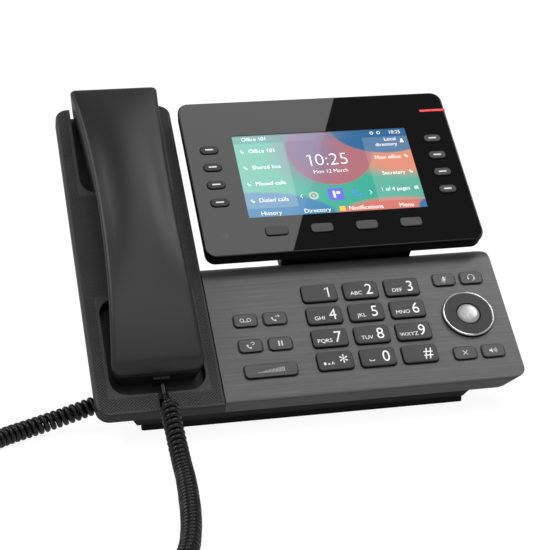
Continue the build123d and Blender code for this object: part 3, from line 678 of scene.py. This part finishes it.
# ---- turned parts ----
TURNED_STEPS = 96
RIM_PROFILE = [(12.2, 1.0), (12.3, 1.75), (12.6, 2.05), (13.0, 2.0), (13.3, 1.6), (13.3, 0.85), (12.9, 0.7)]
CAP_PROFILE = [(0.01, 1.95), (2.0, 1.95), (4.0, 1.93), (5.2, 1.85), (5.6, 1.6), (5.78, 1.1), (5.8, -2.0)]


def turned(name, node, profile, material):
    """A ring or disc turned about the middle of a node, on whose body it rides, from radii and w."""
    u, v, _ = middle_of(node)
    points, faces = [], []
    for step in range(TURNED_STEPS):
        angle = 2 * math.pi * step / TURNED_STEPS
        points += [(radius * MM * math.cos(angle), radius * MM * math.sin(angle), w * MM)
                   for radius, w in profile]
        here, there = step * len(profile), (step + 1) % TURNED_STEPS * len(profile)
        faces += [(here + i, there + i, there + i + 1, here + i + 1) for i in range(len(profile) - 1)]
    piece = surface(name, points, faces, [material], True)
    piece.rotation_mode = "QUATERNION"
    piece.rotation_quaternion = OUTWARD.to_track_quat("Z", "Y")
    piece.location = at(u, v, 0)
    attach(piece, node)


def spun_metal():
    """Silver metal turned on a lathe, whose sheen fans out from the centre: partly real anisotropic gloss,
    partly a painted sheen of lighter and darker sectors in the colour.
    """
    shader = Shader("spun_silver", grey(190), 0.34, Metallic=1.0, Anisotropic=0.8)
    shader.set("Tangent", shader.node("Tangent", direction_type="RADIAL", axis="Z").outputs[0])
    split = shader.node("SeparateXYZ")
    shader.feed(split.inputs[0], shader.node("TexCoord").outputs["Object"])
    turn = shader.maths("ARCTAN2", split.outputs[1], split.outputs[0])
    painted_sheen = shader.maths("SINE", shader.maths("ADD", shader.maths("MULTIPLY", turn, 2.0), 0.6))
    # Painted sheen: the colour turns lighter and darker round the centre.
    shader.set("Base Color", shader.mixed(shader.ranged(painted_sheen, -1.0, 1.0, 0.0, 1.0), grey(138), grey(200)))
    return shader.material


def chrome():
    """Bright plating with faint clouding."""
    shader = Shader("chrome", grey(215), 0.08, Metallic=1.0)
    cloud = shader.noise((0.8, 0.8, 0.8), 2.0)
    shader.set("Roughness", shader.ranged(cloud, 0.3, 0.7, 0.05, 0.14))
    return shader.material


def navigation():
    """The chromed rim, the chevrons of the ring and the spun cap of the OK button."""
    turned("nav_chrome_rim", "nav_ring", RIM_PROFILE, chrome())
    turned("ok_button_cap", "ok_button", CAP_PROFILE, spun_metal())
    u, v, top = middle_of("nav_ring")
    art = Art(top + LEGEND_HEIGHT)
    heel, tip, arm = 9.05, 9.95, 1.1
    for angle in (0, 90, 180, 270):
        out = Vector(circle_points(0, 0, 1.0, angle, angle, 1)[0])
        side = Vector((-out.y, out.x)) * arm
        line = [out * heel + side, out * tip, out * heel - side]
        art.stroke([(u + point.x, v + point.y) for point in line], 0.35)
    art.mesh("nav_chevrons", [DARK_PRINT_AND_SHADE], "nav_ring", "nav_black")


# ---- display details ----
def display_marks():
    """The lit bars of the line keys and the light sensor."""
    lit = ink("line_key_lamp", grey(205), 0.55)
    for side in ("left", "right"):
        for row in range(1, 5):
            node = "line_key_" + side + "_" + str(row)
            u, v, top = middle_of(node)
            art = Art(top + LEGEND_HEIGHT)
            art.rounded(u, v, 4.3, 0.9, 0.3)
            art.mesh("lamp_" + node, [lit], node, "line_key_black")
    low, high = extent("display_front_cover", ORIGIN)
    art = Art(high[2] + LEGEND_HEIGHT)
    art.disc(low[0] + 12.1, low[1] + 12.4, 1.7)
    art.mesh("light_sensor", [gloss_black("sensor_window", grey(40))], "display", "display_gloss")


# ---- finishes of the CAD nodes ----
def brushed_panel():
    """Grey lacquer brushed across, with painted shade darkening it where it rolls over at the rear."""
    shader = Shader("panel_brushed", grey(100), 0.44, Metallic=0.4)
    fine = shader.noise((0.05, 7.0, 7.0), 4.0)
    broad = shader.noise((0.012, 0.9, 0.9), 3.0)
    streak = shader.maths("ADD", shader.maths("MULTIPLY", fine, 0.6), shader.maths("MULTIPLY", broad, 0.4))
    shader.set("Base Color", shader.mixed(shader.ranged(streak, 0.36, 0.64, 0.0, 1.0), grey(86), grey(112)))
    # Painted shade: faces turned away from outward, such as the rear roll, are darkened.
    shader.paint_shade_on_sides(grey(68), 0.35, 0.98)
    shader.set("Roughness", shader.ranged(streak, 0.35, 0.65, 0.36, 0.5))
    shader.bump(fine, 0.012)
    return shader.material


# The cradle's two wells (lowest and highest u, then v), its plain rim, and the dots per millimetre.
WELLS = ((-132.4, -86.0, -35.5, 20.0), (-132.4, -86.0, 86.0, 160.0))
CRADLE_RIM = 1.4
DOT_DENSITY = 0.9


def dotted_cradle():
    """Dark grey moulding with a fine field of dots inside a plain rim; the dots are sunk by a bump and
    darkened with painted shade, and the sides get painted shade too.
    """
    low, high = extent("cradle_cover", ORIGIN)
    shader = moulded("cradle_dotted", grey(68), 0.5, 4.0, 0.006, Specular_IOR_Level=0.3)
    cells = shader.node("TexVoronoi", voronoi_dimensions="2D")
    cells.inputs["Randomness"].default_value = 0.0
    cells.inputs["Scale"].default_value = 1.0
    shader.feed(cells.inputs["Vector"], shader.stretched((DOT_DENSITY, DOT_DENSITY, 1.0), math.radians(45)))
    dots = shader.ranged(cells.outputs["Distance"], 0.24, 0.4, 1.0, 0.0, True)
    rim = CRADLE_RIM
    field = shader.inside(low[0] + rim, high[0] - rim, low[1] + rim, high[1] - rim)
    for low_u, high_u, low_v, high_v in WELLS:
        around = shader.inside(low_u - rim, high_u + rim, low_v - rim, high_v + rim)
        field = shader.maths("MULTIPLY", field, shader.maths("SUBTRACT", 1.0, around))
    on_top = shader.ranged(shader.part(2), -0.3, -0.1, 0.0, 1.0)
    field = shader.maths("MULTIPLY", field, on_top)
    shaded_pits = shader.maths("MULTIPLY", field, dots)
    # Painted shade: the pits of the dots are coloured near black, and the same mask sinks them by a bump.
    shader.set("Base Color", shader.mixed(shaded_pits, shader.colour(), grey(6)))
    shader.bump(shader.maths("MULTIPLY", shaded_pits, -1.0), 0.15)
    # Painted shade on the faces that don't look outward.
    shader.paint_shade_on_sides(grey(24))
    return shader.material


def gloss_black(name, colour):
    """Piano black: a front of deep gloss, faintly wavy from the mould, and satin sides."""
    shader = Shader(name, colour, 0.01, Coat_Roughness=0.01)
    wave = shader.noise((0.03, 0.03, 0.03), 1.0)
    speck = shader.noise((2.0, 2.0, 2.0), 3.0)
    front = shader.facing(0.5, 0.85)
    side_roughness = shader.ranged(front, 0.0, 1.0, 0.5, 0.0)
    front_roughness = shader.ranged(speck, 0.3, 0.8, 0.004, 0.012)
    shader.set("Roughness", shader.maths("ADD", side_roughness, front_roughness))
    shader.set("Specular IOR Level", shader.ranged(front, 0.0, 1.0, 0.1, 0.5))
    shader.set("Coat Weight", shader.ranged(front, 0.0, 1.0, 0.0, 0.3))
    shader.bump(wave, 0.004)
    return shader.material


def circuit_board():
    """Green solder mask over a faint net of tracks."""
    shader = Shader("board_green", rgb(18, 88, 48), 0.35)
    tracks = shader.node("TexVoronoi", feature="DISTANCE_TO_EDGE")
    tracks.inputs["Scale"].default_value = 0.35
    shader.feed(tracks.inputs["Vector"], shader.place)
    line = shader.ranged(tracks.outputs["Distance"], 0.02, 0.06, 1.0, 0.0)
    shader.set("Base Color", shader.mixed(line, rgb(14, 78, 42), rgb(50, 130, 78)))
    shader.bump(line, 0.05)
    return shader.material


def light_pipe():
    """The lit red bar."""
    shader = Shader("light_red", rgb(170, 20, 24), 0.25)
    soft = shader.noise((0.5, 0.5, 0.5), 1.0)
    tone = shader.mixed(shader.ranged(soft, 0.3, 0.7, 0.0, 1.0), rgb(206, 40, 48), rgb(226, 62, 68))
    shader.set("Base Color", tone)
    shader.glow(tone, 0.8)
    return shader.material


def paint(nodes, material):
    """Give CAD nodes one finish."""
    for name in nodes:
        data = NODES[name].data
        data.materials.clear()
        data.materials.append(material)


def satin_keys(kind, shade, roughness):
    """Give the keys of one kind a satin finish, with painted shade turning their sides near black."""
    shader = moulded(kind + "_satin", grey(shade), roughness, 5.0, 0.006)
    # Painted shade: the key sides are darkened to near black.
    shader.paint_shade_on_sides(grey(8), 0.25, 0.75)
    paint([name for name in NODES if name.startswith(kind + "_")], shader.material)


def feature_key_finish():
    """The panel's brushed grey, a tone darker, with painted shade darkening the sides."""
    shader = Shader("feature_key_brushed", grey(84), 0.42, Metallic=0.3)
    fine = shader.noise((0.05, 7.0, 7.0), 4.0)
    shader.set("Base Color", shader.mixed(shader.ranged(fine, 0.36, 0.64, 0.0, 1.0), grey(76), grey(94)))
    shader.bump(fine, 0.01)
    # Painted shade: the key sides are darkened to near black.
    shader.paint_shade_on_sides(grey(6), 0.25, 0.75)
    return shader.material


def finishes():
    """A procedural finish for every CAD node that stays in sight."""
    black = moulded("housing_black", grey(12), 0.55, 2.5, 0.015, Specular_IOR_Level=0.2).material
    satin_keys("dial_key", 62, 0.42)
    satin_keys("line_key", 34, 0.38)
    satin_keys("soft_key", 62, 0.4)
    paint([*FEATURE_ICONS, "volume_rocker"], feature_key_finish())
    paint(["keypad_panel"], brushed_panel())
    paint(["cradle_cover"], dotted_cradle())
    paint(["display_front_cover"], gloss_black("display_gloss", grey(6)))
    paint(["display_rear_housing", "display_neck", "base_lower_housing", "footstand"], black)
    paint(["main_board", "display_board"], circuit_board())
    paint(["lcd_module"], gloss_black("screen_glass", grey(10)))
    paint(["message_light"], light_pipe())
    matt = {"Specular_IOR_Level": 0.2}
    for nodes, name, shade, roughness, grain, depth, inputs in (
            (["nav_ring", "nav_rocker_plate"], "nav_satin", 30, 0.42, 6.0, 0.004, {}),
            (["ok_button"], "ok_plastic", 150, 0.4, 4.0, 0.005, {}),
            (["rubber_feet"], "foot_rubber", 12, 0.8, 1.5, 0.03, matt),
            (["key_mat"], "mat_silicone", 150, 0.6, 2.0, 0.01, {}),
            (["hands_free_speaker", "handset_capsules"], "capsule_black", 20, 0.6, 2.0, 0.02, {}),
            (["hook_switch"], "hook_black", 24, 0.4, 3.0, 0.01, {}),
            (["housing_screws", "hinge_pin"], "screw_steel", 150, 0.3, 3.0, 0.01, {"Metallic": 1.0}),
            (["handset_cord_plug", "base_cord_plug"], "plug_black", 14, 0.35, 3.0, 0.01, {})):
        paint(nodes, moulded(name, grey(shade), roughness, grain, depth, **inputs).material)


def tube_faces(total, count):
    """The faces of a closed tube of points in rings of the given count."""
    faces = []
    for ring in range(0, total - count, count):
        for step in range(count):
            here, there = ring + step, ring + (step + 1) % count
            faces.append((here, there, there + count, here + count))
    return faces + [tuple(reversed(range(count))), tuple(range(total - count, total))]


# ---- the handset ----
# The arch under the grip lies between the seats. The seam is three points of an arc, in v and w.
SEAT_FRONT, SEAT_REAR = 8.0, 98.0
END_ROUND = 5.0
EDGE_ROUND = 2.2
SIDE_TAPER, HEAD_TAPER = 2.4, 1.8
GRIP_CROWN = 34.0
GRIP_STATIONS = 80
SEAM = ((-33.5, 3.0), (58.0, 20.0), (152.0, 4.0))
RECEIVER_V, MICROPHONE_V = 119.0, -8.0
RECEIVER_HOLES = ((3.0, 6), (6.5, 12))


def circle_through(first, second, third):
    """Centre and radius of the circle through three points."""
    (ax, ay), (bx, by), (cx, cy) = first, second, third
    turn = 2 * (ax * (by - cy) + bx * (cy - ay) + cx * (ay - by))
    a, b, c = ax * ax + ay * ay, bx * bx + by * by, cx * cx + cy * cy
    x = (a * (by - cy) + b * (cy - ay) + c * (ay - by)) / turn
    y = (a * (cx - bx) + b * (ax - cx) + c * (bx - ax)) / turn
    return x, y, math.hypot(ax - x, ay - y)


def on_arc(circle, v, side):
    """The height of a circle's upper or lower half over v."""
    x, y, radius = circle
    return y + side * math.sqrt(max(0.0, radius * radius - (v - x) ** 2))


class HandsetForm:
    """The handset's outline as functions of the place along it, on its CAD shells' extents."""

    def __init__(self):
        outer_low, outer_high = extent("handset_outer_shell", ORIGIN)
        inner_low, inner_high = extent("handset_inner_shell", ORIGIN)
        self.low, self.high = min(outer_low[1], inner_low[1]), max(outer_high[1], inner_high[1]) + 1.5
        self.seat, self.middle = inner_low[2], (outer_low[0] + outer_high[0]) / 2
        half_width = (outer_high[0] - outer_low[0]) / 2
        self.back = circle_through((self.low, 9.5), (58.0, outer_high[2] + 0.5), (self.high, 12.5))
        self.arch = circle_through((SEAT_FRONT, self.seat), (53.0, 12.0), (SEAT_REAR, self.seat))
        self.waist = circle_through((self.low, half_width + 1.0), (50.0, half_width - 3.0),
                                    (self.high, half_width + 1.6))

    def bow(self, v):
        """The curvature of the back across the grip, which fades out towards both ends."""
        return math.sin(math.pi * min(1.0, max(0.0, (v + 4) / 150))) ** 1.5 / GRIP_CROWN

    def section(self, v, inset):
        """The outline across the handset at v: a bowed back, rounded edges, flat sides and underside."""
        half = on_arc(self.waist, v, -1) - inset
        top = on_arc(self.back, v, 1) - inset
        under = max(self.seat, on_arc(self.arch, v, 1)) if SEAT_FRONT < v < SEAT_REAR else self.seat
        reach = half - EDGE_ROUND
        shares = (1.0, 0.8, 0.6, 0.4, 0.2)
        crown = [(reach * share, top - self.bow(v) * share * share * reach * reach / 2) for share in shares]
        edge = circle_points(reach, crown[0][1] - EDGE_ROUND, EDGE_ROUND, 0, 90, 4)
        taper = max(HEAD_TAPER, SIDE_TAPER * min(1.0, (95 - v) / 35))
        side = circle_points(reach - taper, under + inset + EDGE_ROUND, EDGE_ROUND, -90, 0, 4)
        right = side + edge[:-1] + crown
        left = [(-u, w) for u, w in reversed(right)]
        return [(self.middle + u, w) for u, w in right + [(0.0, top)] + left]

    def stations(self):
        """Places along the handset, close together at its rounded ends, each with its inset."""
        turns = [math.radians(angle) for angle in (10, 22, 35, 50, 65, 80)]
        for turn in turns:
            yield self.low + END_ROUND * (1 - math.cos(turn)), END_ROUND * (1 - math.sin(turn))
        start, stop = self.low + END_ROUND, self.high - END_ROUND
        for index in range(GRIP_STATIONS + 1):
            yield start + (stop - start) * index / GRIP_STATIONS, 0.0
        for turn in reversed(turns):
            yield self.high - END_ROUND * (1 - math.cos(turn)), END_ROUND * (1 - math.sin(turn))


def handset_finish():
    """Black satin plastic with a fine seam where the two casings meet."""
    shader = moulded("handset_satin", grey(14), 0.42, 2.2, 0.005, Specular_IOR_Level=0.62)
    middle_v, middle_w, radius = circle_through(*SEAM)
    along = shader.maths("SUBTRACT", shader.part(1), middle_v)
    up = shader.maths("SUBTRACT", shader.part(2), middle_w)
    away = shader.maths("ABSOLUTE", shader.maths("SUBTRACT", shader.length(along, up), radius))
    groove = shader.ranged(away, 0.15, 0.35, 1.0, 0.0, True)
    shader.set("Base Color", shader.mixed(groove, shader.colour(), grey(4)))
    shader.bump(shader.maths("MULTIPLY", groove, -1.0), 0.3)
    return shader.material


def handset():
    """The handset's casing as one soft form over its CAD shells."""
    form = HandsetForm()
    points = []
    for v, inset in form.stations():
        outline = form.section(v, inset)
        points += [at(u, v, w) for u, w in outline]
    faces = [(face[0], *face[:0:-1]) for face in tube_faces(len(points), len(outline))]
    piece = surface("handset_casing", points, faces, [handset_finish()], True)
    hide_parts("handset_outer_shell", "handset_inner_shell")
    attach(piece, "handset")
    # Painted shade: flat dark discs on the underside stand in for the sound holes, whose darkness is shade.
    art = Art(form.seat - LEGEND_HEIGHT)
    for radius, holes in RECEIVER_HOLES:
        for u, v in circle_points(form.middle, RECEIVER_V, radius, 0, 360, holes)[:-1]:
            art.disc(u, v, 0.9)
    art.disc(form.middle, MICROPHONE_V, 1.0)
    art.mesh("handset_sound_holes", [DARK_PRINT_AND_SHADE], "handset", "handset_black")


# ---- the curly cord ----
# Control points of the coil and the straight lead, in metres, from the handset on.
COIL_ROUTE = [
    (-0.0741, -0.0822, 0.0233), (-0.0736, -0.0960, 0.0146), (-0.0734, -0.1130, 0.0056),
    (-0.0745, -0.1320, 0.0048), (-0.0770, -0.1540, 0.0048), (-0.0805, -0.1780, 0.0048),
    (-0.0870, -0.2040, 0.0048), (-0.1040, -0.2230, 0.0048), (-0.1300, -0.2290, 0.0048),
    (-0.1540, -0.2190, 0.0048), (-0.1680, -0.1970, 0.0048), (-0.1740, -0.1700, 0.0048),
    (-0.1760, -0.1420, 0.0048), (-0.1745, -0.1160, 0.0048), (-0.1695, -0.0930, 0.0048),
    (-0.1620, -0.0770, 0.0048), (-0.1513, -0.0660, 0.0048), (-0.1391, -0.0592, 0.0048),
    (-0.1219, -0.0545, 0.0073), (-0.1040, -0.0535, 0.0122), (-0.0945, -0.0528, 0.0153),
]
LEAD_ROUTE = [
    (-0.0745, -0.0702, 0.0260), (-0.0744, -0.0748, 0.0229), (-0.0741, -0.0805, 0.0207),
]
WIRE_DIAMETER = 2.9 * MM
HELIX_RADIUS = 3.2 * MM
HELIX_PITCH = 3.15 * MM
TURN_STEPS = 16
RING_STEPS = 8
DRAWN_IN_TURNS = 1.5


def spline_points(route):
    """Points along the smooth curve that a route's control points give."""
    curve = bpy.data.curves.new("route", "CURVE")
    curve.dimensions = "3D"
    curve.resolution_u = 24
    spline = curve.splines.new("NURBS")
    spline.points.add(len(route) - 1)
    for point, place in zip(spline.points, route):
        point.co = (*place, 1)
    spline.order_u = 3
    spline.use_endpoint_u = True
    return [vertex.co.copy() for vertex in flattened(added("route", curve)).vertices]


def even_points(points, step):
    """The same line with its points evenly spaced."""
    result, carried = [points[0]], 0.0
    for before, after in zip(points, points[1:]):
        length = (after - before).length
        while carried + length >= step:
            share = (step - carried) / length
            before = before.lerp(after, share)
            length = (after - before).length
            carried = 0.0
            result.append(before)
        carried += length
    return result


def carried_frames(points):
    """A sideways direction at each point, turned no more than the line turns."""
    sideways = (points[1] - points[0]).orthogonal().normalized()
    frames = []
    for index, here in enumerate(points):
        before = points[max(0, index - 1)]
        after = points[min(len(points) - 1, index + 1)]
        along = (after - before).normalized()
        sideways = (sideways - along * sideways.dot(along)).normalized()
        frames.append((here, along, sideways))
    return frames


def helix_points():
    """The wire's own line: a helix about the coil's smooth route, drawn in at both ends."""
    step = HELIX_PITCH / TURN_STEPS
    frames = carried_frames(even_points(spline_points(COIL_ROUTE), step))
    fade = DRAWN_IN_TURNS * TURN_STEPS
    wire = []
    for index, (here, along, sideways) in enumerate(frames):
        angle = 2 * math.pi * index / TURN_STEPS
        share = min(1.0, index / fade, (len(frames) - 1 - index) / fade)
        share = share * share * (3 - 2 * share)
        wobble = 1 + 0.03 * math.sin(index * 0.013) * math.cos(index * 0.0071)
        across = along.cross(sideways)
        reach = HELIX_RADIUS * share * wobble
        wire.append(here + (sideways * math.cos(angle) + across * math.sin(angle)) * reach)
    return wire


def tube_points(line, radius, steps):
    """Rings of points about a line."""
    points = []
    for here, along, sideways in carried_frames(line):
        across = along.cross(sideways)
        for step in range(steps):
            angle = 2 * math.pi * step / steps
            points.append(here + (sideways * math.cos(angle) + across * math.sin(angle)) * radius)
    return points


def curly_cord():
    """The coiled handset cord, one wire from the handset's plug to the base's."""
    lead = [Vector(point) for point in LEAD_ROUTE]
    coil = helix_points()
    wire = even_points(lead + coil, HELIX_PITCH / TURN_STEPS)
    points = tube_points(wire, WIRE_DIAMETER / 2, RING_STEPS)
    shader = moulded("cord_black", grey(10), 0.3, 3.0, 0.006, Specular_IOR_Level=0.4)
    cord = surface("curly_cord", points, tube_faces(len(points), RING_STEPS), [shader.material], True)
    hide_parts("cord_coil", "handset_cord_lead")
    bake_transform(cord)


# ---- studio ----
FLOOR_REACH = 40.0
CAMERA_FROM_PANEL = Vector((-0.2160, -0.7117, 0.2564))
CAMERA_DOWN, CAMERA_TURN = 17.73, -13.36
LENS, FILM = 102.8, 36.0
# Each lamp's name, place, turn in degrees, size in metres and radiance.
SOFTBOXES = (
    ("left_softbox", (0.1783, 0.0866, 1.3), -18.8, (0.32, 1.6), 1.9),
    ("fill_softbox", (-1.1, 0.1, 1.3), 0.0, (0.7, 1.4), 4.0),
    ("grip_softbox", (0.71, 0.08, 1.3), 0.0, (0.2, 0.6), 10.5),
    ("front_softbox", (0.15, -1.0, 1.3), 0.0, (1.0, 0.6), 2.0),
)


def floor():
    """A plain pale floor, which glows for the camera so that it reads as white."""
    shader = Shader("floor_white", grey(120), 0.9, Specular_IOR_Level=0.0)
    grain = shader.noise((0.02, 0.02, 0.02), 2.0)
    shader.set("Base Color", shader.mixed(grain, grey(118), grey(124)))
    seen = shader.node("LightPath").outputs["Is Camera Ray"]
    shader.glow(grey(255), shader.ranged(seen, 0.0, 1.0, 0.5, 0.92))
    corners = [(x * FLOOR_REACH, y * FLOOR_REACH, 0) for x, y in ((-1, -1), (1, -1), (1, 1), (-1, 1))]
    surface("floor", corners, [(0, 1, 2, 3)], [shader.material])


def softbox(name, place, turn, size, radiance):
    """A rectangular lamp that looks straight down, turned about the vertical."""
    lamp = bpy.data.lights.new(name, "AREA")
    lamp.shape = "RECTANGLE"
    lamp.size, lamp.size_y = size
    lamp.energy = radiance * math.pi * size[0] * size[1]
    holder = added(name, lamp)
    holder.location = place
    holder.rotation_euler = (0, 0, math.radians(turn))


def studio():
    """Floor, world, lamps and camera."""
    floor()
    world = bpy.data.worlds.new("studio")
    bpy.context.scene.world = world
    world.use_nodes = True
    tree = world.node_tree
    background = tree.nodes["Background"]
    place = tree.nodes.new("ShaderNodeTexCoord")
    split = tree.nodes.new("ShaderNodeSeparateXYZ")
    ramp = tree.nodes.new("ShaderNodeMapRange")
    for name, value in (("From Min", 0.1), ("From Max", 0.75), ("To Min", 0.6), ("To Max", 0.14)):
        ramp.inputs[name].default_value = value
    tree.links.new(place.outputs["Generated"], split.inputs[0])
    tree.links.new(split.outputs["Z"], ramp.inputs["Value"])
    tree.links.new(ramp.outputs[0], background.inputs["Color"])
    camera = bpy.data.cameras.new("camera")
    camera.lens = LENS
    camera.sensor_width = FILM
    holder = added("camera", camera)
    holder.location = at(0, 0, DIAL_KEY_TOP) + CAMERA_FROM_PANEL
    holder.rotation_euler = (math.radians(90 - CAMERA_DOWN), 0, math.radians(CAMERA_TURN))
    bpy.context.scene.camera = holder
    bpy.context.scene.view_settings.view_transform = "Standard"
    for lamp in SOFTBOXES:
        softbox(*lamp)


finishes()
dial_legends()
feature_legends()
painted_key_gap_shade()
screen()
navigation()
display_marks()
handset()
curly_cord()
studio()
